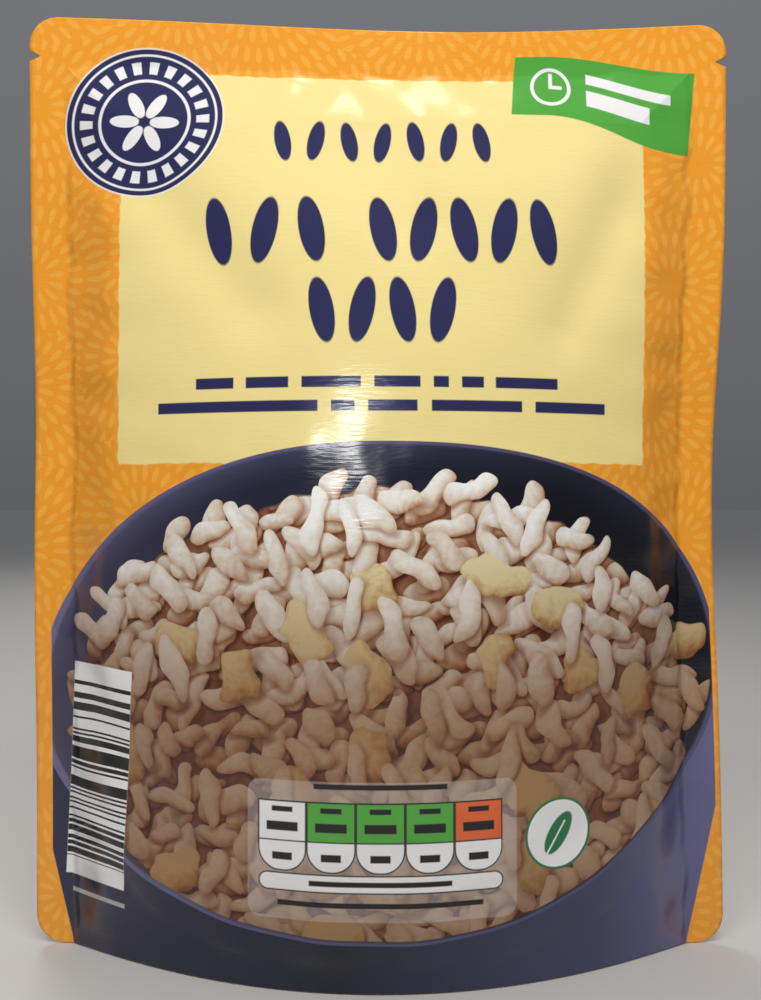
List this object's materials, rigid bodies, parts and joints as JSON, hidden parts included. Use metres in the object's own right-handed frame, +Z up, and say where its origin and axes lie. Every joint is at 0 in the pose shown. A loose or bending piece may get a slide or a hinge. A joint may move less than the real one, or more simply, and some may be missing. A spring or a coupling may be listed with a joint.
{
  "type": "microwave rice pouch",
  "caption": "Shut stand-up food pouch of glossy printed film, welded at the sides and top, with tear notches and an opened bottom gusset, filled with cooked rice.",
  "frame": {"origin": "middle of the footprint, on the surface that the pouch stands on", "axes": "+X along the pack's width, -Y out of its printed front, +Z up towards the top weld"},
  "size_m": [0.1465, 0.0428, 0.1938],
  "materials": {
    "printed_film": "orange printed laminate under clear gloss film"
  },
  "bodies": {
    "root": {"pouch": "printed_film"}
  },
  "joints": []
}
